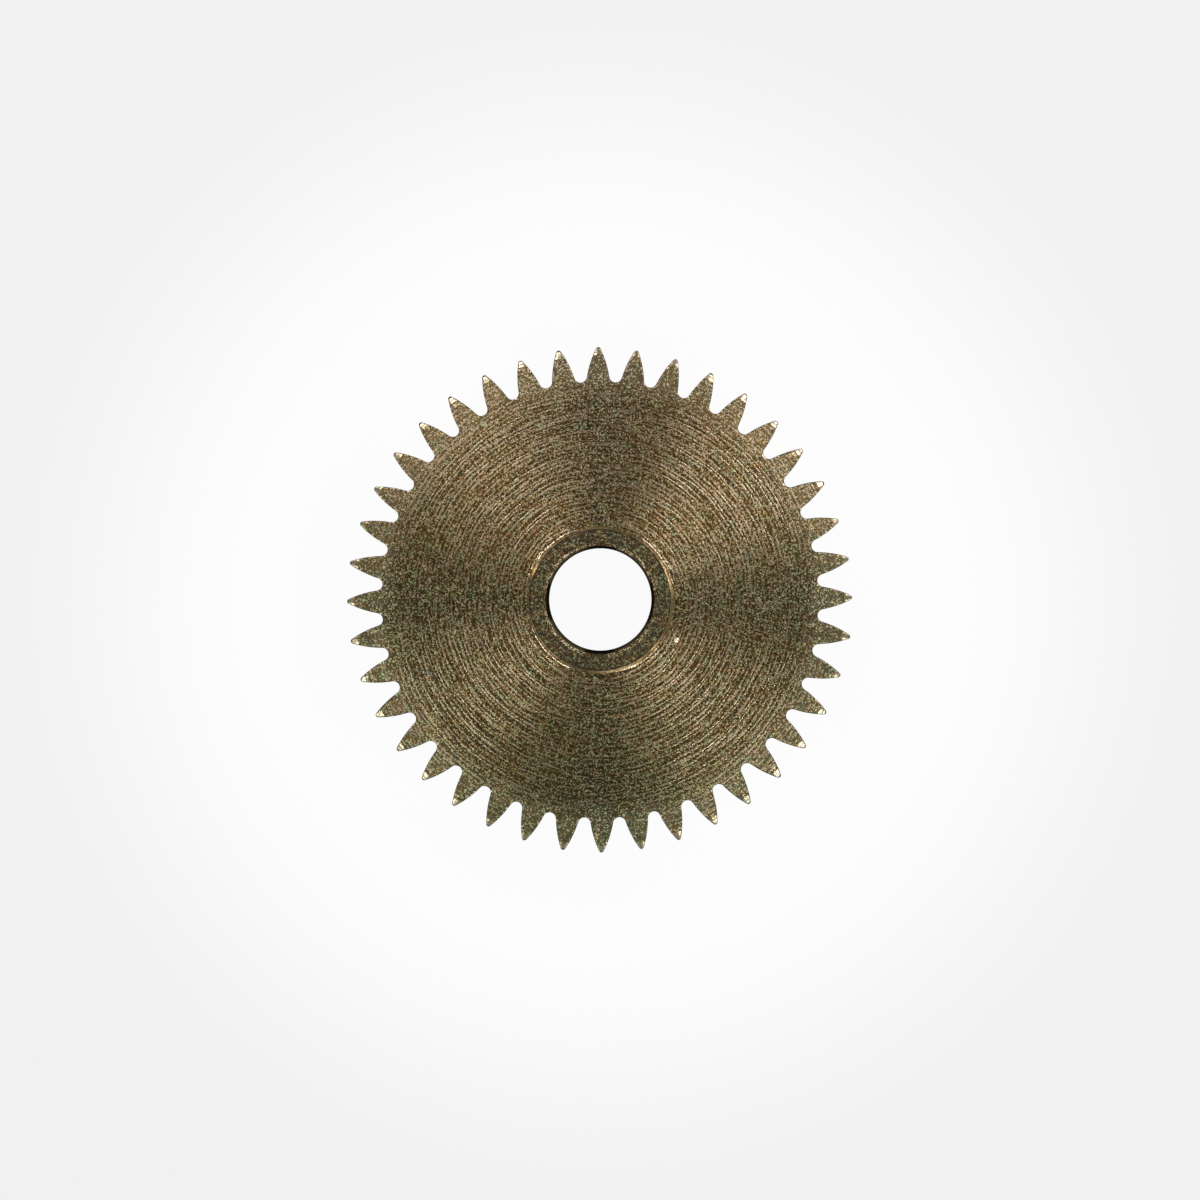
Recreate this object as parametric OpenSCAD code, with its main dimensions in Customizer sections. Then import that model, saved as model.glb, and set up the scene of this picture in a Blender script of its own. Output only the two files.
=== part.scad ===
// Hour wheel of a mechanical watch: a toothed wheel riveted on a hollow pipe.
// The wheel lies at the top with its movement side up, and the pipe stands on the surface below.
// The pipe turns on the cannon pinion and carries the hour hand on its barrel. Sizes in millimetres.

/* [Teeth] */
// Number of teeth
tooth_count = 40; // [30:1:60]
// Diameter of the pitch circle, on which the wheel meshes with its pinion
pitch_d = 5; // [4:0.05:8]
// Height of a tooth above the pitch circle, in modules (pitch diameter divided by the number of teeth)
addendum = 1.7; // [1.4:0.05:1.75]
// Depth of a tooth space below the pitch circle, in modules
dedendum = 1.3; // [1.1:0.05:1.5]
// Thickness of a tooth on the pitch circle, in modules
tooth_thickness = 1.58; // [1.54:0.02:1.64]
// Radius of the arc that shapes a tooth's flank, in modules
flank_arc = 9; // [8.5:0.25:12]
// Lean of the flank on the pitch circle, away from the tooth's centre line, in degrees
flank_lean = 15; // [14:0.5:16]

/* [Wheel plate] */
// Thickness of the plate
plate_t = 0.3; // [0.22:0.01:0.5]
// Width of the bevel turned on both edges of the rim
rim_bevel_w = 0.085; // [0.04:0.005:0.12]
// Depth of the rim bevel
rim_bevel_h = 0.03; // [0.01:0.005:0.06]
// Width of the dished band round the riveted end of the pipe
dish_w = 0.065; // [0.03:0.005:0.2]
// Depth of the riveted face below the face of the plate
dish_h = 0.02; // [0.005:0.005:0.06]

/* [Pipe] */
// Diameter of the bore that turns on the cannon pinion
bore_d = 1.16; // [0.9:0.01:1.3]
// Diameter of the barrel that the hour hand is pressed on
barrel_d = 1.5; // [1.4:0.01:1.8]
// Length of the barrel, from the collar to the free end
barrel_l = 1.38; // [0.8:0.02:2.4]
// Diameter of the collar that the plate is riveted against
collar_d = 2; // [1.9:0.05:2.6]
// Thickness of the collar
collar_t = 0.12; // [0.08:0.01:0.3]
// Radius of the cove between the barrel and the collar
cove_r = 0.04; // [0.01:0.01:0.06]
// Height and width of the bevel on the collar's edge
collar_bevel = 0.03; // [0.01:0.01:0.06]
// Height and width of the bevel on the barrel's free end
lead_bevel = 0.06; // [0.02:0.01:0.08]

/* [Riveted joint] */
// Diameter of the neck that passes through the plate
neck_d = 1.4; // [1.36:0.01:1.46]
// Swelling of the neck's radius under the lip, from the riveting
neck_swell = 0.01; // [0.002:0.002:0.014]
// Diameter of the riveted lip on the movement side
lip_d = 1.51; // [1.5:0.01:1.7]
// Height of the cone and the rolled edge of the lip
lip_h = 0.07; // [0.05:0.01:0.1]
// Radius of the lip's rolled edge
lip_edge = 0.01; // [0.005:0.005:0.03]
// Width and depth of the bevel at both ends of the bore
bore_bevel = 0.03; // [0.01:0.005:0.04]
// Gap left between the lip's cone and the plate
rivet_gap = 0.002; // [0.001:0.001:0.005]

/* [Hidden] */

// Colours: turned brass gone brown, and the darker burnished end of the pipe
plate_colour = [0.42, 0.35, 0.24];
pipe_colour = [0.32, 0.29, 0.22];

// Sides of the turned surfaces, and steps along each arc of a tooth and of the pipe
turned_sides = 96;
flank_steps = 5;
tip_steps = 3;
root_steps = 4;
corner_steps = 4;

// A bevel or a cove takes at most this share of the wall or step that it is cut in
largest_share = 0.45;

// Room by which a cutting shape passes the solid that it trims
margin = 0.02;

// Levels, from the free end of the pipe up to the face of the plate
collar_z = barrel_l;
plate_z = collar_z + collar_t;
face_z = plate_z + plate_t;
lip_z = face_z - dish_h;

// Radii of the turned surfaces
bore_r = bore_d / 2;
barrel_r = barrel_d / 2;
collar_r = collar_d / 2;
neck_r = neck_d / 2;
swollen_r = neck_r + neck_swell;
hole_r = swollen_r + rivet_gap;
lip_r = lip_d / 2;
seat_r = lip_r + rivet_gap;

// Bevels and cove, limited by their walls
end_bevel = limited(lead_bevel, barrel_r - bore_r);
mouth_bevel = limited(bore_bevel, neck_r - bore_r);
collar_edge = limited(collar_bevel, min(collar_t, collar_r - barrel_r));
cove = limited(cove_r, collar_r - barrel_r);

// Circles of the toothed rim
tooth_module = pitch_d / tooth_count;
pitch_r = pitch_d / 2;
tip_r = pitch_r + addendum * tooth_module;
root_r = pitch_r - dedendum * tooth_module;

// Half of one tooth is drawn above the tooth's centre line, which is +X.
// Its flank is an arc that crosses the pitch circle at the tooth's thickness and lean.
half_pitch = 180 / tooth_count;
half_thickness = tooth_thickness * tooth_module / 2;
flank_r = flank_arc * tooth_module;
pitch_point = [sqrt(pow(pitch_r, 2) - pow(half_thickness, 2)), half_thickness];
flank_centre = pitch_point - flank_r * [sin(flank_lean), cos(flank_lean)];

// The tip is an arc centred on the tooth's centre line that blends into the flank
tip_reach = tip_r - flank_centre[0];
tip_arc = (pow(tip_reach, 2) + pow(flank_centre[1], 2) - pow(flank_r, 2)) / (2 * (tip_reach - flank_r));
tip_centre = [tip_r - tip_arc, 0];

// The root is an arc centred in the tooth space that blends into the flanks on both sides
space_line = [cos(half_pitch), sin(half_pitch)];
root_drop = flank_r - root_r;
root_reach = (flank_centre * flank_centre - pow(root_drop, 2)) / (2 * (space_line * flank_centre + root_drop));
root_arc = root_reach - root_r;
root_centre = root_reach * space_line;

// Bearings, seen from the flank's centre, where the flank meets the tip and the root
tip_join = bearing(flank_centre, tip_centre);
root_join = bearing(flank_centre, root_centre);

// A size that is cut into a wall, no larger than the wall allows
function limited(wanted, wall) = min(wanted, wall * largest_share);

// Direction from one point to another
function bearing(from, to) = atan2(to[1] - from[1], to[0] - from[0]);

// Points along an arc, without its last one
function open_arc(centre, r, from, to, steps) = [
    for (i = [0:steps - 1])
        let (a = from + (to - from) * i / steps)
            centre + r * [cos(a), sin(a)]
];

// Points along an arc, with both ends
function full_arc(centre, r, from, to, steps) =
    concat(open_arc(centre, r, from, to, steps), [centre + r * [cos(to), sin(to)]]);

// Point turned round the wheel's centre
function turned(p, a) = [p[0] * cos(a) - p[1] * sin(a), p[0] * sin(a) + p[1] * cos(a)];

// Half a tooth, from the tip on the centre line to the bottom of the space
half_tooth = concat(
    open_arc(tip_centre, tip_arc, 0, tip_join, tip_steps),
    open_arc(flank_centre, flank_r, tip_join, root_join, flank_steps),
    full_arc(root_centre, root_arc, root_join - 180, half_pitch - 180, root_steps)
);
last = len(half_tooth) - 1;

// One tooth from space to space: its lower flank, a mirror image, and then its upper flank
tooth = concat(
    [for (i = [last - 1:-1:1]) [half_tooth[i][0], -half_tooth[i][1]]],
    half_tooth
);
rim_outline = [for (k = [0:tooth_count - 1], p = tooth) turned(p, 2 * half_pitch * k)];

// Section through the turned blank of the plate, as radius and height.
// Its outer wall stands clear of the tooth tips, with the bevels carried on to meet it.
module blank_section() {
    bevel_start = tip_r - rim_bevel_w;
    bevel_drop = rim_bevel_h * (rim_bevel_w + margin) / rim_bevel_w;
    polygon([
        [hole_r, plate_z],
        [bevel_start, plate_z],
        [tip_r + margin, plate_z + bevel_drop],
        [tip_r + margin, face_z - bevel_drop],
        [bevel_start, face_z],
        [seat_r + dish_w, face_z],
        [seat_r, lip_z - lip_edge],
        [hole_r, lip_z - lip_h]
    ]);
}

// Toothed wheel: the cut teeth, trimmed to the turned blank
module wheel_plate() {
    color(plate_colour)
        intersection() {
            rotate_extrude($fn = turned_sides)
                blank_section();
            translate([0, 0, plate_z - margin])
                linear_extrude(plate_t + 2 * margin)
                    polygon(rim_outline);
        }
}

// Section through the pipe, as radius and height, from the free end outside to the bore
module pipe_section() {
    polygon(concat(
        [[bore_r + mouth_bevel, 0]],
        [[barrel_r - end_bevel, 0]],
        [[barrel_r, end_bevel]],
        full_arc([barrel_r + cove, collar_z - cove], cove, 180, 90, corner_steps),
        [[collar_r - collar_edge, collar_z]],
        [[collar_r, collar_z + collar_edge]],
        [[collar_r, plate_z]],
        [[neck_r, plate_z]],
        [[swollen_r, lip_z - lip_h]],
        full_arc([lip_r - lip_edge, lip_z - lip_edge], lip_edge, 0, 90, corner_steps),
        [[bore_r + mouth_bevel, lip_z]],
        [[bore_r, lip_z - mouth_bevel]],
        [[bore_r, mouth_bevel]]
    ));
}

// Hour pipe: barrel, collar, neck and riveted lip, turned in one piece
module hour_pipe() {
    color(pipe_colour)
        rotate_extrude($fn = turned_sides)
            pipe_section();
}

wheel_plate();
hour_pipe();
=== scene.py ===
"""Hour wheel of a mechanical watch, finished as turned and aged brass.

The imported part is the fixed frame, and its sizes are used here. The toothed wheel and the riveted
pipe stand for its two plain solids, as fine meshes with worn edges, turning marks and tarnish.
The stage is a pale floor with a low wall all round, four soft lamps and a camera over the wheel.
Lengths are in metres, and the materials count in millimetres.
"""

import math

import bmesh
import bpy
import numpy as np
from mathutils import Matrix, Vector


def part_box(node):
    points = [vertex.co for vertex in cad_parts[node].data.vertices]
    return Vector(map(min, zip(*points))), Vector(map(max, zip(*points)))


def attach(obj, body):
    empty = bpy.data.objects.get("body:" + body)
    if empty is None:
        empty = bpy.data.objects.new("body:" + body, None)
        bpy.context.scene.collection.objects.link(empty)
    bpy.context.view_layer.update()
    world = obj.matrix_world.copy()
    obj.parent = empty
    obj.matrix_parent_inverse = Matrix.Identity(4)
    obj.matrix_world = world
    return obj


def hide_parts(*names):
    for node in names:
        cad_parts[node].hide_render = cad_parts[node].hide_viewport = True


bl_info = {
    "name": "Hour wheel",
    "version": (1, 0, 0),
    "blender": (4, 5, 0),
    "location": "3D View > Sidebar > Hour wheel",
    "description": "Builds an aged brass hour wheel for a mechanical watch round its packed solids",
    "category": "Object",
}

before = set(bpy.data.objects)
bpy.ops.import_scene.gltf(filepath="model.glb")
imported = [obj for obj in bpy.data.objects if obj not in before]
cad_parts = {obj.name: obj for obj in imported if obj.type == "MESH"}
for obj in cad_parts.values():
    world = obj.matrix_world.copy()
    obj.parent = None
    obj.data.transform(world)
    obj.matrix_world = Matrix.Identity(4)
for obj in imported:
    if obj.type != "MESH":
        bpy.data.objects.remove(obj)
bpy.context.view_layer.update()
plate_low, plate_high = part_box("wheel_plate")
pipe_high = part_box("hour_pipe")[1]

MM = 0.001

# Gap between the lip's cone and the plate
RIVET_GAP = 0.002 * MM

# Seeds of the wear on the teeth and of the waves in the riveted lip
TEETH_SEED = 40
LIP_SEED = 7

# Points round the pipe and round the floor
PIPE_SIDES = 288
FLOOR_SIDES = 128

# How many times brighter bare brass is than the patina round it
BARE_OVER_PATINA = 11.0

# Radius of the wheel's tips and height of its upper face, in millimetres
TIP = plate_high.x / MM
FACE = plate_high.z / MM

# Radii in millimetres where the finish changes, from where each change starts to where it is complete
TOOTHED_RIM = (2.1, 2.42)
TOOTH_TIPS = (TIP - 0.1025, TIP - 0.0625)
TOOTH_POINTS = (TIP - 0.0275, TIP - 0.0075)
DISH_START = (0.75, 0.757)
DISH_END = (0.77, 0.798)
BORE_WALL = (0.581, 0.584)
BORE_MOUTH = (0.608, 0.616)

# Heights in millimetres between which the dull outside of the pipe gives way to its burnished end
PIPE_OUTSIDE = (FACE - 0.11, FACE - 0.07)

# Single marks on the upper face, in millimetres: a duller patch and a bright nick, both beside the hub
DULL_PATCH = (-0.85, 0.8, FACE)
NICK = (0.815, -0.435, FACE)

# Spacing of the turning marks in millimetres, and how far they wander, in radians of their wave
RING_PITCH = 0.046
RING_DRIFT = 12

# Azimuth of each lamp in degrees, and its share of the full brightness
LAMPS = ((41, 1.1), (119, 0.87), (212, 0.86), (317, 1.1))

# Distances from the axis between which the floor's painted pool of light turns from white to a very pale
# grey
FLOOR_SHADING = (3.6 * MM, 7.2 * MM)


def length(name, description, default):
    """A size in metres that the sidebar shows in the scene's units."""
    return bpy.props.FloatProperty(
        name=name, description=description, default=default, min=0, precision=6, unit="LENGTH"
    )


def share(name, description, default, largest=1.0):
    """A plain number from nothing up to its largest value."""
    return bpy.props.FloatProperty(
        name=name, description=description, default=default, min=0, max=largest
    )


def rotation(name, description, degrees):
    """An angle that is given in degrees and kept in radians."""
    return bpy.props.FloatProperty(
        name=name, description=description, default=math.radians(degrees), subtype="ANGLE"
    )


def colour(name, description, default):
    """A colour without its alpha."""
    return bpy.props.FloatVectorProperty(
        name=name, description=description, default=default, min=0, max=1, size=3, subtype="COLOR"
    )


class WheelSizes(bpy.types.PropertyGroup):
    """Sizes of the toothed plate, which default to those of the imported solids."""

    tooth_count: bpy.props.IntProperty(
        name="Teeth", description="Number of teeth", default=40, min=12, max=120
    )
    pitch_diameter: length("Pitch diameter", "Diameter of the circle on which the teeth mesh", 5 * MM)
    tip_radius: length("Tip radius", "Radius of the circle through the tips", plate_high.x)
    root_depth: share("Root depth", "Depth of a space below the pitch circle, in modules", 1.3, 3)
    tooth_width: share("Tooth width", "Width of a tooth on the pitch circle, in modules", 1.58, 3)
    flank_arc: share("Flank arc", "Radius of a tooth's flank, in modules", 9, 30)
    flank_lean: rotation("Flank lean", "Lean of the flank on the pitch circle", 15)
    bottom: length("Bottom", "Height of the plate's lower face", plate_low.z)
    top: length("Top", "Height of the plate's upper face", plate_high.z)
    rim_bevel_width: length("Rim bevel width", "Width of the bevel turned round the rim", 0.085 * MM)
    rim_bevel_drop: length("Rim bevel drop", "Fall of that bevel over its width", 0.03 * MM)
    hole_radius: length("Hole radius", "Radius of the hole that the pipe fills", 0.712 * MM)
    dish_width: length("Dish width", "Width of the dished band round the rivet", 0.065 * MM)
    edge_radius: length("Edge radius", "Rounding of the worn edges", 0.014 * MM)
    tip_wear: length("Tip wear", "Largest loss of height of a tooth", 0.018 * MM)
    tooth_error: rotation("Tooth error", "Usual lean of a tooth to one side", 0.12)
    burr: length("Burr", "Unevenness of the cut edges", 0.0025 * MM)
    turning_pitch: length("Turning pitch", "Spacing of the turned rings on the faces", 0.06 * MM)
    turning_depth: length("Turning depth", "Depth of the turned rings", 0.0008 * MM)


class PipeSizes(bpy.types.PropertyGroup):
    """Sizes of the hour pipe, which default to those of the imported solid."""

    bore_radius: length("Bore radius", "Radius of the bore", 0.58 * MM)
    barrel_radius: length("Barrel radius", "Radius of the barrel that the hand sits on", 0.75 * MM)
    collar_radius: length("Collar radius", "Radius of the collar under the plate", pipe_high.x)
    collar_thickness: length("Collar thickness", "Thickness of the collar", 0.12 * MM)
    neck_radius: length("Neck radius", "Radius of the neck in the plate's hole", 0.7 * MM)
    neck_swell: length("Neck swell", "Swelling of the neck from the riveting", 0.01 * MM)
    lip_radius: length("Lip radius", "Radius of the riveted lip", 0.755 * MM)
    lip_height: length("Lip height", "Height of the lip's cone and edge", 0.07 * MM)
    lip_edge: length("Lip edge", "Rounding of the lip", 0.01 * MM)
    lip_unevenness: length("Lip unevenness", "Waviness of the riveted lip", 0.003 * MM)
    top: length("Top", "Height of the riveted face", pipe_high.z)
    lead_bevel: length("Lead bevel", "Bevel on the barrel's free end", 0.06 * MM)
    mouth_bevel: length("Mouth bevel", "Bevel at both ends of the bore", 0.03 * MM)
    cove: length("Cove", "Radius between barrel and collar", 0.04 * MM)
    collar_bevel: length("Collar bevel", "Bevel on the collar's edge", 0.03 * MM)
    edge_radius: length("Edge radius", "Rounding of the turned edges", 0.006 * MM)


class MetalColours(bpy.types.PropertyGroup):
    """Colours and finish of the two metals."""

    brass: colour("Brass", "Bare brass where a mark is fresh", (0.98, 0.85, 0.63))
    worn_brass: colour("Worn brass", "Brass that has lost its patina and its shine", (0.97, 0.47, 0.06))
    dark_patina: colour("Dark patina", "Patina in the hollows of the grain", (0.018, 0.015, 0.006))
    pale_patina: colour("Pale patina", "Patina on the crests of the grain", (0.458, 0.462, 0.32))
    brown_cast: colour("Brown cast", "Tint of the browner patches of the patina", (1.0, 0.86, 0.67))
    green_cast: colour("Green cast", "Tint of the greener patches of the patina", (0.76, 0.87, 0.64))
    grey_cast: colour("Grey cast", "Tint of the greyer patches of the patina", (0.8, 0.81, 1.0))
    milled_brass: colour("Milled brass", "Dull brass on the flanks of the teeth", (0.30, 0.23, 0.13))
    drawn_brass: colour("Drawn brass", "Dull brass on the outside of the pipe", (0.24, 0.182, 0.096))
    tarnish: colour("Tarnish", "Even film of tarnish on the pipe", (0.074, 0.072, 0.062))
    # Painted shade for the wall of the bore
    bore_shade: colour("Bore oil", "Old oil on the wall of the bore", (0.026, 0.022, 0.014))
    # Painted shade for the walls and points of the teeth
    edge_shade: colour("Soot", "Oil and dirt on walls and in seams", (0.022, 0.019, 0.016))
    roughness: share("Roughness", "Roughness of the bare metal", 0.22)
    brushing: share("Brushing", "How far the turning marks draw a highlight out", 0.95)


class StageSizes(bpy.types.PropertyGroup):
    """Floor, lamps and camera."""

    floor_radius: length("Floor radius", "Radius of the floor up to its low wall", 150 * MM)
    floor_curve: length("Floor curve", "Radius of the curve from the floor up to the wall", 40 * MM)
    wall_height: length("Wall height", "Height of the wall round the floor", 50 * MM)
    lamp_distance: length("Lamp distance", "Distance of the lamps from the wheel", 60 * MM)
    lamp_width: length("Lamp width", "Width of a lamp, level with the floor", 31 * MM)
    lamp_depth: length("Lamp depth", "Depth of a lamp, up its slope", 22 * MM)
    lamp_radiance: share("Lamp radiance", "Brightness of a lamp's face", 4.3, 50)
    lamp_tilt: rotation("Lamp tilt", "Angle of a lamp from straight above the wheel", 40)
    sky: share("Sky", "Brightness of the room above the wall", 0.15, 1)
    view_width: length("View width", "Width of the picture at the plate's upper face", 12.848 * MM)
    camera_height: length("Camera height", "Height of the camera over that face", 29 * MM)
    camera_right: length("Camera right", "How far the camera stands off the axis, to the right", 0.06 * MM)
    camera_up: length("Camera up", "How far the camera stands off the axis, to the back", 0.1 * MM)
    camera_roll: rotation("Camera roll", "Turn of the camera about its line of sight", -0.5)


class Signal:
    """A socket whose value changes over a surface, on which arithmetic adds Math nodes."""

    def __init__(self, recipe, socket):
        self.recipe = recipe
        self.socket = socket

    def maths(self, operation, *operands):
        """A Math node on up to three numbers or signals."""
        made = self.recipe.node("ShaderNodeMath", {"operation": operation}, dict(enumerate(operands)))
        return Signal(self.recipe, made.outputs[0])

    def __add__(self, other):
        return self.maths("ADD", self, other)

    def __radd__(self, other):
        return self.maths("ADD", other, self)

    def __sub__(self, other):
        return self.maths("SUBTRACT", self, other)

    def __rsub__(self, other):
        return self.maths("SUBTRACT", other, self)

    def __mul__(self, other):
        return self.maths("MULTIPLY", self, other)

    def __rmul__(self, other):
        return self.maths("MULTIPLY", other, self)

    def __truediv__(self, other):
        return self.maths("DIVIDE", self, other)

    def __rtruediv__(self, other):
        return self.maths("DIVIDE", other, self)

    def __pow__(self, other):
        return self.maths("POWER", self, other)

    def __abs__(self):
        return self.maths("ABSOLUTE", self)

    def at_least(self, low):
        """This value, or the limit where the value is smaller."""
        return self.maths("MAXIMUM", self, low)

    def at_most(self, high):
        """This value, or the limit where the value is larger."""
        return self.maths("MINIMUM", self, high)

    def between(self, low, high):
        """0 below the lower value, 1 above the higher one and a smooth step from one to the other."""
        made = self.recipe.node(
            "ShaderNodeMapRange",
            {"interpolation_type": "SMOOTHSTEP"},
            {"Value": self, "From Min": low, "From Max": high},
        )
        return Signal(self.recipe, made.outputs[0])


class Recipe:
    """A material and the nodes that it is made of."""

    def __init__(self, name):
        self.material = bpy.data.materials.new(name)
        self.material.use_nodes = True
        self.tree = self.material.node_tree
        self.tree.nodes.clear()

    def node(self, kind, settings=None, sockets=None):
        """Adds a node. Its settings come first, and then a value or a link for each socket named."""
        made = self.tree.nodes.new(kind)
        for name, value in (settings or {}).items():
            setattr(made, name, value)
        for name, value in (sockets or {}).items():
            if isinstance(value, Signal):
                self.tree.links.new(value.socket, made.inputs[name])
            elif isinstance(value, bpy.types.NodeSocket):
                self.tree.links.new(value, made.inputs[name])
            else:
                made.inputs[name].default_value = value
        return made

    def signal(self, kind, output, settings=None, sockets=None):
        """Adds a node and gives one of its outputs."""
        return Signal(self, self.node(kind, settings, sockets).outputs[output])

    def vector(self, operation, output, *operands, **sockets):
        """A Vector Math node on vectors."""
        named = dict(enumerate(operands))
        named.update(sockets)
        return self.signal("ShaderNodeVectorMath", output, {"operation": operation}, named)

    def noise(self, place, detail, roughness=0.5):
        """Soft noise round 0.5 at a place."""
        return self.signal(
            "ShaderNodeTexNoise",
            "Fac",
            {"noise_dimensions": "3D"},
            {"Vector": place, "Scale": 1.0, "Detail": detail, "Roughness": roughness},
        )

    def cells(self, place):
        """Irregular cells with three random numbers each, from 0 to 1."""
        sockets = {"Vector": place, "Scale": 1.0, "Randomness": 1.0}
        tones = self.node("ShaderNodeTexVoronoi", {"voronoi_dimensions": "3D", "feature": "F1"}, sockets)
        parts = self.node("ShaderNodeSeparateXYZ", None, {0: tones.outputs["Color"]})
        return [Signal(self, socket) for socket in parts.outputs]

    def blend(self, mask, first, second, mode="MIX"):
        """The first colour where the mask is 0 and the second where it is 1."""
        sockets = {0: mask}
        for socket, value in ((6, first), (7, second)):
            sockets[socket] = value if isinstance(value, Signal) else (*value, 1.0)
        made = self.node("ShaderNodeMix", {"data_type": "RGBA", "blend_type": mode}, sockets)
        return Signal(self, made.outputs[2])

    def finish(self, shader):
        """Ends the material with this shader."""
        self.node("ShaderNodeOutputMaterial", None, {"Surface": shader})
        return self.material


class Surface:
    """Where a point of the wheel lies, in millimetres, and which way its surface faces."""

    def __init__(self, recipe):
        self.recipe = recipe
        self.source = recipe.node("ShaderNodeTexCoord")
        here = Signal(recipe, self.source.outputs["Object"])
        self.place = recipe.vector("SCALE", 0, here, Scale=1 / MM)
        parts = recipe.node("ShaderNodeSeparateXYZ", None, {0: self.place})
        self.x = Signal(recipe, parts.outputs[0])
        self.y = Signal(recipe, parts.outputs[1])
        self.z = Signal(recipe, parts.outputs[2])
        flat = recipe.vector("MULTIPLY", 0, self.place, (1, 1, 0))
        self.radius = recipe.vector("LENGTH", 1, flat)

        # 1 on the toothed rim, and painted side light that makes the face brighter towards the back and the
        # right and darker towards the front and the left, and duller in a patch beside the hub
        self.teeth = self.radius.between(*TOOTHED_RIM)
        brightened = (self.x * 0.5 + self.y * 1.4) * 0.1 + 1.015
        self.side_light_and_dull_patch = brightened * (0.82 + self.away_from(DULL_PATCH).between(0.1, 0.7) * 0.18)

    def levelness(self):
        """1 where the surface is level, facing up or down, and 0 where it is upright."""
        facing = self.recipe.node("ShaderNodeSeparateXYZ", None, {0: self.source.outputs["Normal"]})
        return abs(Signal(self.recipe, facing.outputs[2]))

    def away_from(self, place):
        """Distance from a place on the wheel, in millimetres."""
        return self.recipe.vector("DISTANCE", 1, self.place, place)

    def scratched(self, along, across, level=0.0):
        """A place for short marks that lie along circles round the axis, with sizes in millimetres."""
        middle_radius = 1.6
        angle = self.y.maths("ARCTAN2", self.y, self.x)
        return self.recipe.signal(
            "ShaderNodeCombineXYZ",
            0,
            None,
            {0: angle * (middle_radius / along), 1: self.radius / across + level, 2: self.z / across},
        )

    def turned(self, along, across, level=0.0):
        """A place for noise that is drawn out along circles round the axis, with sizes in millimetres."""
        return self.recipe.signal(
            "ShaderNodeCombineXYZ",
            0,
            None,
            {0: self.x / along, 1: self.y / along, 2: self.radius / across + self.z / across + level},
        )

    def upright(self, across, along):
        """A place for marks that run along the axis, with sizes in millimetres."""
        return self.recipe.signal(
            "ShaderNodeCombineXYZ", 0, None, {0: self.x / across, 1: self.y / across, 2: self.z / along}
        )

    def grain(self, size, level=0.0):
        """A place for noise that is alike in all directions, with the size in millimetres."""
        scaled = self.recipe.vector("SCALE", 0, self.place, Scale=1 / size)
        return self.recipe.vector("ADD", 0, scaled, (level, level, level))


def aged(recipe, colours, surface, fresh, spark, cells, pale, brown=0.0):
    """Colour of old brass: brown and green patina in fine grains, with bare metal where it is fresh.

    Spark tells polished metal from worn metal, pale is the share of pale grains that is kept, and
    brown shifts the patina from green to brown.
    """
    shade = (cells[0] ** 8 * 2.85 * (1 - surface.teeth * 0.33) + surface.teeth * 0.1) * pale
    browner = (1.9 - surface.radius + surface.y * 0.8) * 0.05 + surface.teeth * 0.08 + brown
    cast = recipe.noise(surface.grain(0.12, 3.0), 2.0, 0.6) + browner
    haze = recipe.noise(surface.grain(0.14, 9.0), 2.0, 0.6)
    haze = haze + surface.y.between(0.4, 1.6) * 0.14 + surface.x.between(0.4, 1.6) * 0.08
    patina = recipe.blend(shade, colours.dark_patina, colours.pale_patina)
    tinted = recipe.blend(cast.between(0.37, 0.63), colours.green_cast, colours.brown_cast)
    patina = recipe.blend(1.0, patina, tinted, "MULTIPLY")
    patina = recipe.blend(haze.between(0.4, 0.65), patina, colours.grey_cast, "MULTIPLY")
    patina = recipe.vector("SCALE", 0, patina, Scale=surface.side_light_and_dull_patch + surface.teeth * 0.64)
    bare = recipe.blend(spark.between(0.08, 0.9), colours.worn_brass, colours.brass)
    bare = recipe.blend(0.4, bare, tinted, "MULTIPLY")
    return recipe.blend(fresh, patina, bare)


def bare_share(fresh):
    """Metallic value at which the shader gives as much metal as this share of bare surface."""
    return fresh * BARE_OVER_PATINA / (1 + fresh * (BARE_OVER_PATINA - 1))


def brushed_metal(recipe, tint, fresh, roughness, relief, relief_depth, brushing, specular):
    """Ends a metal whose highlights are drawn out across the marks that run round the axis."""
    bump = recipe.signal(
        "ShaderNodeBump", 0, None, {"Strength": 1.0, "Distance": relief_depth, "Height": relief}
    )
    shader = recipe.node(
        "ShaderNodeBsdfPrincipled",
        None,
        {
            "Base Color": tint,
            "Metallic": bare_share(fresh),
            "Roughness": roughness,
            "Specular IOR Level": specular,
            "Anisotropic": brushing,
            "Anisotropic Rotation": 0.25,
            "Normal": bump,
        },
    )
    return recipe.finish(shader.outputs[0])


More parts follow.
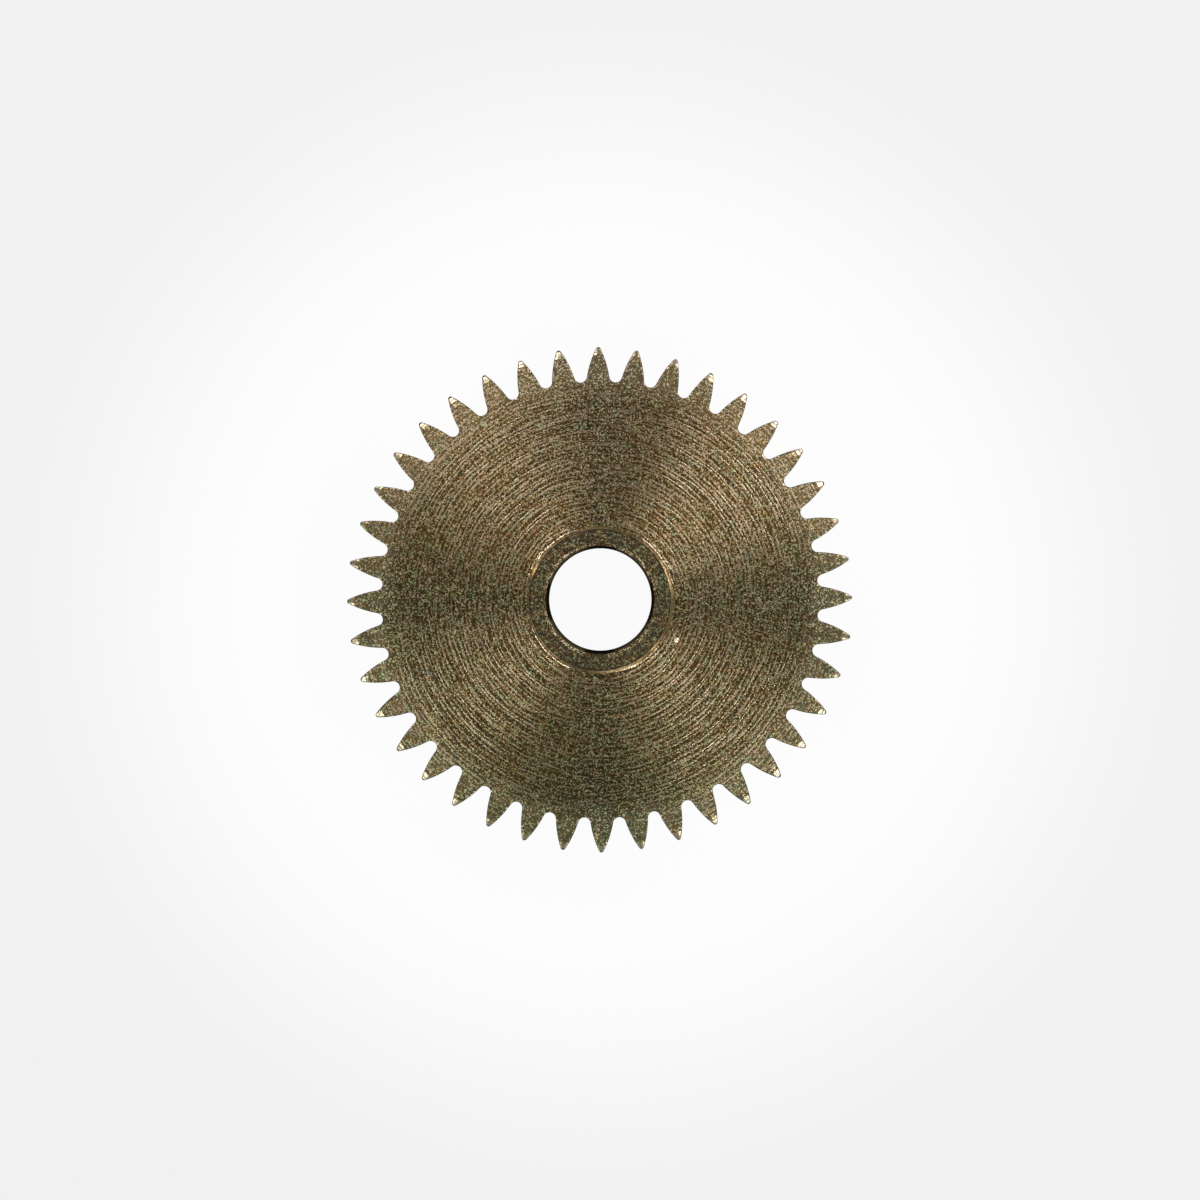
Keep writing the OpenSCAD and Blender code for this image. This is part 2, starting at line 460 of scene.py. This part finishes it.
def turned_brass(colours):
    """Aged brass with fine concentric turning marks, dark with painted shade at the walls and points of the
    teeth.
    """
    recipe = Recipe("turned_brass")
    surface = Surface(recipe)
    # Painted light: 1 on the diagonals, where the four lamps stand, and 0 on the axes; it strengthens the
    # dashes, the sheen and the dark grooves where the lamps light them
    lit_diagonals = abs(surface.x * surface.y) * 2 / surface.radius**2

    # Parts of the plate that differ in finish
    levelness = surface.levelness()
    walls = 1 - levelness.between(0.72, 0.9)
    flanks = 1 - levelness.between(0.1, 0.4)
    points = surface.radius.between(*TOOTH_POINTS)
    tips = surface.radius.between(*TOOTH_TIPS)
    dish = surface.radius.between(*DISH_START) * (1 - surface.radius.between(*DISH_END))
    nick = surface.away_from(NICK)

    # Marks of the tools that cut it: rings, the swaths and dashes that break them up, and milled lines
    drift = recipe.noise(surface.turned(0.6, 0.07, 7.0), 1.0)
    feed = surface.radius * (2 * math.pi / RING_PITCH) + drift * RING_DRIFT
    rings = feed.maths("SINE", feed) * 0.5 + 0.5
    swaths = recipe.noise(surface.scratched(0.24, 0.035), 0.0)
    dashes = recipe.noise(surface.scratched(0.019, 0.01, 5.0), 0.0)
    cells = recipe.cells(surface.grain(0.012))
    milled = recipe.noise(surface.upright(0.012, 0.3), 1.0)
    # Dark grooves as painted shade, shown mostly between the axes where the lamps light the marks
    grooves = (1 - rings) ** 3 * swaths.between(0.4, 0.65) * (lit_diagonals * 0.9 + 0.1)

    # Bare metal in bright dashes, as a painted highlight that is strongest between the axes, where the
    # lamps stand, and fades out near the axes, and in the nick
    spark = (rings + 0.15) ** 6 * (swaths * 2) ** 3 * (dashes * 2) ** 6 * cells[2] ** 2
    spark = spark * (lit_diagonals * 1.4 + 0.3) * surface.side_light_and_dull_patch * (1 - surface.teeth * 0.4) - 0.1
    spark = spark.at_least(0.0).at_most(1.0) * (1 - dish)
    # A ring of painted shadow round the nick, where the dashes stop; inside it the nick is bare metal
    spark = spark * nick.between(0.03, 0.05) + 1 - nick.between(0.022, 0.034)

    # Bare metal in all, with a faint sheen everywhere, painted stronger between the axes where the lamps
    # stand, and rubbed brass on the dish and the tips
    lines = rings * 0.04 * (1 - surface.teeth) + 0.23
    sheen = lines * (0.14 + cells[1] ** 2 * 0.46) * surface.side_light_and_dull_patch * (lit_diagonals * 0.8 + 0.3)
    polish = recipe.noise(surface.turned(0.4, 4.0, 12.0), 1.0) + surface.x * 0.22
    brightened = dish * (0.12 + polish.between(0.35, 0.65) * 0.55) * (0.5 + cells[1])
    fresh = spark + sheen + brightened + tips * (0.3 + cells[1] * 0.6)
    fresh = fresh.at_most(1.0) * (1 - walls) * (1 - points)
    fresh = fresh * (1 - grooves * 0.75) + flanks * (milled * 0.7 - 0.05)

    # Colour, with painted shade on the walls and points of the teeth and dull brass on their flanks
    pale = (1 - dish * 0.8) * (1 - grooves * 0.08)
    tint = aged(recipe, colours, surface, fresh, spark + tips + dish * 0.55, cells, pale)
    painted_edge_shade = walls + points - walls * points
    tint = recipe.blend(painted_edge_shade * 0.8, tint, colours.edge_shade)
    tint = recipe.blend(flanks * 0.9, tint, colours.milled_brass)

    roughness = 0.5 - fresh * (0.5 - colours.roughness) + walls * 0.2
    relief = rings * (1 - dish) * (1 - surface.teeth * 0.8) * (1 - flanks) + milled * flanks
    relief = relief * (lit_diagonals * 0.7 + 0.3) + nick.between(0, 0.036) * 4
    return brushed_metal(
        recipe,
        tint,
        fresh,
        roughness,
        relief,
        relief_depth=0.0022 * MM,
        brushing=colours.brushing,
        specular=0.15,
    )


def burnished_brass(colours):
    """Dark burnished brass with a fine grain, with painted shade on the wall of the bore."""
    recipe = Recipe("burnished_brass")
    surface = Surface(recipe)

    # Parts of the pipe that differ in finish
    bore = 1 - surface.radius.between(*BORE_WALL)
    mouth = 1 - surface.radius.between(*BORE_MOUTH)
    outside = 1 - surface.z.between(*PIPE_OUTSIDE)
    barrel = outside * (1 - bore)

    # Painted light on the bevel and wall of the bore in four patches between the axes, where the lamps
    # stand, and painted shade on the wall elsewhere
    patches = recipe.noise(surface.turned(0.2, 4.0, 2.0), 1.0)
    painted_bore_light = (abs(surface.x * surface.y) * 6 + patches - 0.45).at_least(0.0)
    painted_bore_shade = bore * (1 - painted_bore_light.between(0.5, 0.8) * 0.85)
    fine = recipe.noise(surface.turned(0.12, 0.02), 1.0)
    cells = recipe.cells(surface.grain(0.014, 5.0))
    fresh = (fine * 0.5 + cells[2] * 0.5) ** 5 * 1.1 + mouth * painted_bore_light * cells[1] ** 5 * 2.5
    fresh = fresh.at_most(1.0) * (1 - painted_bore_shade)
    tint = aged(recipe, colours, surface, fresh, fresh, cells, 0.6 - mouth * 0.3, -0.12)
    tint = recipe.blend((1 - fresh) * 0.3, tint, colours.tarnish)

    # The barrel and the collar keep the straight lines of the tool that turned them
    lines = recipe.noise(surface.turned(12.0, 0.01, 3.0), 2.0, 0.6)
    fresh = fresh * (1 - outside) + barrel * (0.6 + lines * 0.4)
    drawn = recipe.vector("SCALE", 0, colours.drawn_brass, Scale=0.6 + lines * 0.8)
    tint = recipe.blend(outside, tint, drawn)
    # Painted shade on the wall of the bore
    tint = recipe.blend(painted_bore_shade, tint, colours.bore_shade)

    roughness = 0.5 + painted_bore_shade * 0.5 - barrel * 0.2
    relief = fine * (1 - outside) + lines * outside
    return brushed_metal(
        recipe, tint, fresh, roughness, relief, relief_depth=0.003 * MM, brushing=0.7, specular=0.0
    )


def arc(centre, radius, start, end, steps):
    """Points along an arc, without its last one. The angles are in radians."""
    angles = start + (end - start) * np.arange(steps) / steps
    return centre + radius * np.column_stack((np.cos(angles), np.sin(angles)))


def bearing(start, end):
    """Direction from one point to another, in radians."""
    return math.atan2(end[1] - start[1], end[0] - start[0])


def half_tooth(sizes, tip_steps=5, flank_steps=7, root_steps=5):
    """Outline of half a tooth, from its tip on +X to the bottom of the space beside it."""
    pitch_radius = sizes.pitch_diameter / 2
    module = sizes.pitch_diameter / sizes.tooth_count
    root_radius = pitch_radius - sizes.root_depth * module
    half_width = sizes.tooth_width * module / 2
    flank_radius = sizes.flank_arc * module
    lean = sizes.flank_lean
    on_pitch = np.array((math.sqrt(pitch_radius**2 - half_width**2), half_width))
    flank = on_pitch - flank_radius * np.array((math.sin(lean), math.cos(lean)))

    tip_reach = sizes.tip_radius - flank[0]
    tip_arc = (tip_reach**2 + flank[1] ** 2 - flank_radius**2) / (2 * (tip_reach - flank_radius))
    tip = np.array((sizes.tip_radius - tip_arc, 0))

    half_pitch = math.pi / sizes.tooth_count
    space = np.array((math.cos(half_pitch), math.sin(half_pitch)))
    drop = flank_radius - root_radius
    root_reach = (flank @ flank - drop**2) / (2 * (space @ flank + drop))
    root_arc = root_reach - root_radius
    root = root_reach * space

    tip_join = bearing(flank, tip)
    root_join = bearing(flank, root)
    return np.vstack((
        arc(tip, tip_arc, 0, tip_join, tip_steps),
        arc(flank, flank_radius, tip_join, root_join, flank_steps),
        arc(root, root_arc, root_join - math.pi, half_pitch - math.pi, root_steps),
        [root_radius * space],
    ))


def wavy(count, shortest, dice):
    """Smooth random numbers from -1 to 1 round a closed loop. The shortest wave is given in points."""
    waves = np.fft.rfftfreq(count) * shortest
    spectrum = np.fft.rfft(dice.standard_normal(count)) * np.exp(-(waves**2) * 8)
    values = np.fft.irfft(spectrum, count)
    return values / np.abs(values).max()


def toothed_outline(sizes, dice):
    """Outline of the worn wheel: the teeth differ a little in height and lean, and the cut is uneven."""
    half = half_tooth(sizes)
    mirrored = half[-2:0:-1] * (1, -1)
    tooth = np.vstack((mirrored, half))
    radius = np.hypot(*tooth.T)
    angle = np.arctan2(tooth[:, 1], tooth[:, 0])
    height = (radius - radius.min()) / np.ptp(radius)
    wear = sizes.tip_wear * dice.random(sizes.tooth_count) ** 2
    lean = sizes.tooth_error * dice.standard_normal(sizes.tooth_count)
    pitch = 2 * math.pi / sizes.tooth_count
    radii = []
    angles = []
    for number in range(sizes.tooth_count):
        radii.append(radius - wear[number] * height)
        angles.append(angle + pitch * number + lean[number] * height)
    radii = np.concatenate(radii)
    angles = np.concatenate(angles)
    outline = np.column_stack((radii * np.cos(angles), radii * np.sin(angles)))
    bites = sizes.burr * (0.5 + 0.5 * wavy(len(outline), shortest=5, dice=dice))
    return outline - facing(outline) * bites[:, None]


def facing(outline):
    """Unit normals that point out of a closed outline drawn anticlockwise."""
    along = np.roll(outline, -1, 0) - np.roll(outline, 1, 0)
    normals = np.column_stack((along[:, 1], -along[:, 0]))
    return normals / np.hypot(*normals.T)[:, None]


def ring_mesh(name, rows, closed=True):
    """A mesh of rings with as many points each, joined one to the next and the last to the first."""
    count = len(rows[0])
    points = np.vstack(rows)
    here = np.arange(count)
    there = np.roll(here, -1)
    faces = []
    links = len(rows) if closed else len(rows) - 1
    for number in range(links):
        low = number * count
        high = (number + 1) % len(rows) * count
        faces.append(np.column_stack((low + here, low + there, high + there, high + here)))
    mesh = bpy.data.meshes.new(name)
    mesh.from_pydata(points.tolist(), [], np.vstack(faces).tolist())
    mesh.validate()
    work = bmesh.new()
    work.from_mesh(mesh)
    bmesh.ops.recalc_face_normals(work, faces=work.faces)
    work.to_mesh(mesh)
    work.free()
    mesh.shade_smooth()
    piece = bpy.data.objects.new(name, mesh)
    bpy.context.scene.collection.objects.link(piece)
    return piece


def ring(radius, angles, height):
    """Points at these angles on a level circle, or on any outline if the radius is an array."""
    return np.column_stack((
        radius * np.cos(angles), radius * np.sin(angles), np.zeros(len(angles)) + height
    ))


def plate_rows(sizes, pipe, dice):
    """Rings of points over the whole plate: hole, lower face, teeth, upper face and countersink."""
    outline = toothed_outline(sizes, dice)
    normals = facing(outline)
    inset = outline - normals * sizes.edge_radius
    inset_radius = np.hypot(*inset.T)
    inset_angle = np.unwrap(np.arctan2(inset[:, 1], inset[:, 0]))
    even_angle = inset_angle[0] + 2 * math.pi * np.arange(len(inset)) / len(inset)
    module = sizes.pitch_diameter / sizes.tooth_count
    root_radius = sizes.pitch_diameter / 2 - sizes.root_depth * module
    root_margin = 0.045 * MM
    bevel_margin = 0.004 * MM
    disc_radius = root_radius - root_margin
    bevel_start = sizes.tip_radius - sizes.rim_bevel_width
    bevel_slope = sizes.rim_bevel_drop / sizes.rim_bevel_width

    def bevel(radius):
        return np.maximum(radius - bevel_start, 0) * bevel_slope

    def face(inner, level, side):
        """Rings from a radius near the hub out to the inset outline, on the lower or upper face."""
        rows = []
        count = int((disc_radius - inner) / sizes.turning_pitch)
        depths = sizes.turning_depth * dice.random(count)
        for number in range(count):
            part = (number + 0.5) / count
            radius = inner + (disc_radius - inner) * part
            angles = even_angle + (inset_angle - even_angle) * part**2
            rows.append(ring(radius, angles, level - side * depths[number]))
        shoulder = np.minimum(inset_radius - bevel_margin, bevel_start)
        for part in (0, 0.25, 0.5, 0.75, 1):
            rows.append(ring(disc_radius + (shoulder - disc_radius) * part, inset_angle, level))
        for part in (0.35, 0.7, 1):
            radius = shoulder + (inset_radius - shoulder) * part
            rows.append(ring(radius, inset_angle, level - side * bevel(radius)))
        return rows

    def edge(level, side):
        """Rings round the worn edge, from the face down its quarter round to the wall."""
        rows = []
        drop = bevel(inset_radius)
        for part in (0.25, 0.5, 0.75, 1):
            turn = part * math.pi / 2
            out = inset + normals * sizes.edge_radius * math.sin(turn)
            height = level - side * (drop + sizes.edge_radius * (1 - math.cos(turn)))
            rows.append(np.column_stack((out, height)))
        return rows

    lower = face(sizes.hole_radius, sizes.bottom, -1) + edge(sizes.bottom, -1)
    seat_radius = pipe.lip_radius + RIVET_GAP
    dish_radius = seat_radius + sizes.dish_width
    upper = face(dish_radius, sizes.top, 1) + edge(sizes.top, 1)
    wall = []
    for part in (0.2, 0.4, 0.6, 0.8):
        wall.append(lower[-1] + (upper[-1] - lower[-1]) * part)
    dish_depth = sizes.top - (pipe.top - pipe.lip_edge)
    hole_middle = sizes.bottom + 0.1 * MM
    rows = [ring(sizes.hole_radius, even_angle, hole_middle)]
    rows.append(ring(sizes.hole_radius, even_angle, sizes.bottom))
    rows += lower + wall + upper[::-1]
    for part in (0, 0.06, 0.25, 0.5, 0.75, 0.94, 1):
        rows.append(ring(dish_radius - sizes.dish_width * part, even_angle, sizes.top - dish_depth * part))
    seat_drop = pipe.lip_height - pipe.lip_edge
    for part in (0.33, 0.67, 1):
        radius = seat_radius - (seat_radius - sizes.hole_radius) * part
        rows.append(ring(radius, even_angle, sizes.top - dish_depth - seat_drop * part))
    return rows


def rounded(corners, radius, steps=3):
    """A closed profile with each corner rounded, by no more than its shorter side allows."""
    made = []
    for number, corner in enumerate(corners):
        before = np.subtract(corners[number - 1], corner)
        after = np.subtract(corners[(number + 1) % len(corners)], corner)
        before_length = np.hypot(*before)
        after_length = np.hypot(*after)
        cosine = np.clip(before @ after / (before_length * after_length), -1, 1)
        half = math.acos(cosine) / 2
        cut = min(radius / math.tan(half), 0.4 * before_length, 0.4 * after_length)
        first = corner + before * (cut / before_length)
        last = corner + after * (cut / after_length)
        for step in range(steps + 1):
            part = step / steps
            made.append((1 - part) ** 2 * first + 2 * part * (1 - part) * np.array(corner) + part**2 * last)
    return made


def divided(profile, longest):
    """The same closed profile with its long sides cut into shorter ones."""
    made = []
    for number, point in enumerate(profile):
        side = np.subtract(profile[(number + 1) % len(profile)], point)
        count = max(1, math.ceil(np.hypot(*side) / longest))
        for step in range(count):
            made.append(point + side * step / count)
    return made


def pipe_profile(sizes, collar_top, cove_steps=4):
    """Section through the pipe, as radius and height, from its free end up the outside to the bore."""
    collar_bottom = collar_top - sizes.collar_thickness
    cove = []
    for step in range(cove_steps + 1):
        turn = math.pi / 2 * step / cove_steps
        cove.append((
            sizes.barrel_radius + sizes.cove * (1 - math.cos(turn)),
            collar_bottom - sizes.cove * (1 - math.sin(turn)),
        ))
    return [
        (sizes.bore_radius + sizes.mouth_bevel, 0),
        (sizes.barrel_radius - sizes.lead_bevel, 0),
        (sizes.barrel_radius, sizes.lead_bevel),
        *cove,
        (sizes.collar_radius - sizes.collar_bevel, collar_bottom),
        (sizes.collar_radius, collar_bottom + sizes.collar_bevel),
        (sizes.collar_radius, collar_top),
        (sizes.neck_radius, collar_top),
        (sizes.neck_radius + sizes.neck_swell, sizes.top - sizes.lip_height),
        (sizes.lip_radius, sizes.top - sizes.lip_edge),
        (sizes.lip_radius - sizes.lip_edge, sizes.top),
        (sizes.bore_radius + sizes.mouth_bevel, sizes.top),
        (sizes.bore_radius, sizes.top - sizes.mouth_bevel),
        (sizes.bore_radius, sizes.mouth_bevel),
    ]


class HOUR_WHEEL_OT_toothed_wheel(bpy.types.Operator):
    """Adds the toothed plate in turned brass."""

    bl_idname = "hour_wheel.toothed_wheel"
    bl_label = "Toothed wheel"

    def execute(self, context):
        scene = context.scene
        dice = np.random.default_rng(TEETH_SEED)
        rows = plate_rows(scene.wheel_sizes, scene.pipe_sizes, dice)
        piece = ring_mesh("toothed_wheel", rows)
        piece.data.materials.append(turned_brass(scene.metal_colours))
        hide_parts("wheel_plate")
        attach(piece, "root")
        return {"FINISHED"}


class HOUR_WHEEL_OT_riveted_pipe(bpy.types.Operator):
    """Adds the hollow pipe that is riveted in the plate."""

    bl_idname = "hour_wheel.riveted_pipe"
    bl_label = "Riveted pipe"

    def execute(self, context):
        scene = context.scene
        sizes = scene.pipe_sizes
        dice = np.random.default_rng(LIP_SEED)
        corners = pipe_profile(sizes, scene.wheel_sizes.bottom)
        longest_side = 0.05 * MM
        profile = divided(rounded(corners, sizes.edge_radius), longest_side)
        angles = 2 * math.pi * np.arange(PIPE_SIDES) / PIPE_SIDES
        uneven = sizes.lip_unevenness * wavy(PIPE_SIDES, shortest=12, dice=dice)
        lip_inside = sizes.lip_radius - 2 * sizes.lip_edge
        lip_bottom = sizes.top - 5 * sizes.lip_edge
        rows = []
        for radius, height in profile:
            at_lip = radius > lip_inside and height > lip_bottom
            rows.append(ring(radius + uneven * at_lip, angles, height))
        piece = ring_mesh("riveted_pipe", rows)
        piece.data.materials.append(burnished_brass(scene.metal_colours))
        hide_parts("hour_pipe")
        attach(piece, "root")
        return {"FINISHED"}


def floor_material():
    """Pale floor that the camera sees as white, with the wheel's shadow still on it."""
    recipe = Recipe("pale_floor")
    rays = recipe.node("ShaderNodeLightPath")
    seen = Signal(recipe, rays.outputs["Is Camera Ray"])
    seen = seen + Signal(recipe, rays.outputs["Is Glossy Ray"])
    seen = seen + Signal(recipe, rays.outputs["Is Transmission Ray"])
    source = recipe.node("ShaderNodeTexCoord")
    distance = recipe.vector("LENGTH", 1, Signal(recipe, source.outputs["Object"]))
    paper = (0.82, 0.82, 0.81, 1)
    centre = (1, 1, 1)
    border = (0.89, 0.89, 0.89)
    white_share = 0.95
    lit = recipe.node("ShaderNodeBsdfDiffuse", None, {"Color": paper})
    # Painted pool of light: white round the wheel, fading to pale grey further out
    tone = recipe.blend(distance.between(*FLOOR_SHADING), centre, border)
    white = recipe.node("ShaderNodeEmission", None, {"Color": tone, "Strength": 1.0})
    shader = recipe.node(
        "ShaderNodeMixShader",
        None,
        {0: seen.between(0, 1) * white_share, 1: lit.outputs[0], 2: white.outputs[0]},
    )
    return recipe.finish(shader.outputs[0])


def add_floor(sizes, curve_steps=12):
    """Round floor that rises in a curve to a low wall."""
    sides = 2 * math.pi * np.arange(FLOOR_SIDES) / FLOOR_SIDES
    curve = sizes.floor_curve
    rows = []
    for radius in (0, 8 * MM, 30 * MM, 70 * MM):
        rows.append(ring(radius, sides, 0))
    for step in range(curve_steps + 1):
        turn = math.pi / 2 * step / curve_steps
        radius = sizes.floor_radius - curve + curve * math.sin(turn)
        rows.append(ring(radius, sides, curve * (1 - math.cos(turn))))
    rows.append(ring(sizes.floor_radius, sides, sizes.wall_height))
    floor = ring_mesh("floor", rows, closed=False)
    work = bmesh.new()
    work.from_mesh(floor.data)
    bmesh.ops.remove_doubles(work, verts=work.verts, dist=0.001 * MM)
    work.to_mesh(floor.data)
    work.free()
    floor.data.materials.append(floor_material())


def add_lamp(sizes, target, azimuth, brightness):
    """A soft lamp that faces the wheel from one side and above."""
    lamp = bpy.data.lights.new(f"soft_lamp_{azimuth}", "AREA")
    lamp.shape = "RECTANGLE"
    lamp.size = sizes.lamp_width
    lamp.size_y = sizes.lamp_depth
    lamp.energy = sizes.lamp_radiance * brightness * math.pi * sizes.lamp_width * sizes.lamp_depth
    holder = bpy.data.objects.new(lamp.name, lamp)
    turn = math.radians(azimuth)
    direction = Vector((
        math.sin(sizes.lamp_tilt) * math.cos(turn),
        math.sin(sizes.lamp_tilt) * math.sin(turn),
        math.cos(sizes.lamp_tilt),
    ))
    holder.location = target + direction * sizes.lamp_distance
    holder.rotation_euler = direction.to_track_quat("Z", "Y").to_euler()
    holder.visible_camera = False
    bpy.context.scene.collection.objects.link(holder)


def add_camera(sizes, target):
    """The camera almost straight over the wheel, a little off its axis and a little turned."""
    camera = bpy.data.cameras.new("portrait")
    camera.sensor_width = 36
    camera.lens = camera.sensor_width * sizes.camera_height / sizes.view_width
    camera.clip_start = 1 * MM
    camera.clip_end = 1
    holder = bpy.data.objects.new(camera.name, camera)
    place = target + Vector((sizes.camera_right, sizes.camera_up, sizes.camera_height))
    backward = (place - target).normalized()
    tilt = Vector((0, 0, 1)).rotation_difference(backward).to_matrix()
    roll = Matrix.Rotation(sizes.camera_roll, 3, "Z")
    holder.matrix_world = Matrix.Translation(place) @ (tilt @ roll).to_4x4()
    bpy.context.scene.collection.objects.link(holder)
    bpy.context.scene.camera = holder


def set_sky(sizes):
    """A dim grey room, which the metal reflects from above the wall."""
    world = bpy.data.worlds.new("room")
    world.use_nodes = True
    background = world.node_tree.nodes["Background"]
    background.inputs["Color"].default_value = (1, 1, 1, 1)
    background.inputs["Strength"].default_value = sizes.sky
    bpy.context.scene.world = world


class HOUR_WHEEL_OT_stage(bpy.types.Operator):
    """Adds the floor, the lamps, the room's light and the camera."""

    bl_idname = "hour_wheel.stage"
    bl_label = "Stage"

    def execute(self, context):
        scene = context.scene
        sizes = scene.stage_sizes
        target = Vector((0, 0, scene.wheel_sizes.top))
        add_floor(sizes)
        for azimuth, brightness in LAMPS:
            add_lamp(sizes, target, azimuth, brightness)
        set_sky(sizes)
        add_camera(sizes, target)
        scene.view_settings.view_transform = "Standard"
        return {"FINISHED"}


class HOUR_WHEEL_PT_panel(bpy.types.Panel):
    """Lists the steps that build the wheel, with their sizes and colours."""

    bl_idname = "HOUR_WHEEL_PT_panel"
    bl_label = "Hour wheel"
    bl_space_type = "VIEW_3D"
    bl_region_type = "UI"
    bl_category = "Hour wheel"

    def draw(self, context):
        steps = (
            (HOUR_WHEEL_OT_toothed_wheel, context.scene.wheel_sizes),
            (HOUR_WHEEL_OT_riveted_pipe, context.scene.pipe_sizes),
            (HOUR_WHEEL_OT_stage, context.scene.stage_sizes),
            (None, context.scene.metal_colours),
        )
        for operator, group in steps:
            box = self.layout.box()
            if operator:
                box.operator(operator.bl_idname)
            for name in group.__annotations__:
                box.prop(group, name)


GROUPS = {
    "wheel_sizes": WheelSizes,
    "pipe_sizes": PipeSizes,
    "metal_colours": MetalColours,
    "stage_sizes": StageSizes,
}
CLASSES = (
    *GROUPS.values(),
    HOUR_WHEEL_OT_toothed_wheel,
    HOUR_WHEEL_OT_riveted_pipe,
    HOUR_WHEEL_OT_stage,
    HOUR_WHEEL_PT_panel,
)


def register():
    """Registers the settings, the operators and the panel."""
    for kind in CLASSES:
        bpy.utils.register_class(kind)
    for name, group in GROUPS.items():
        setattr(bpy.types.Scene, name, bpy.props.PointerProperty(type=group))


def unregister():
    """Takes back what register adds."""
    for name in GROUPS:
        delattr(bpy.types.Scene, name)
    for kind in reversed(CLASSES):
        bpy.utils.unregister_class(kind)


def main():
    """Builds both pieces and the stage."""
    register()
    bpy.ops.hour_wheel.toothed_wheel()
    bpy.ops.hour_wheel.riveted_pipe()
    bpy.ops.hour_wheel.stage()


if __name__ == "__main__":
    main()
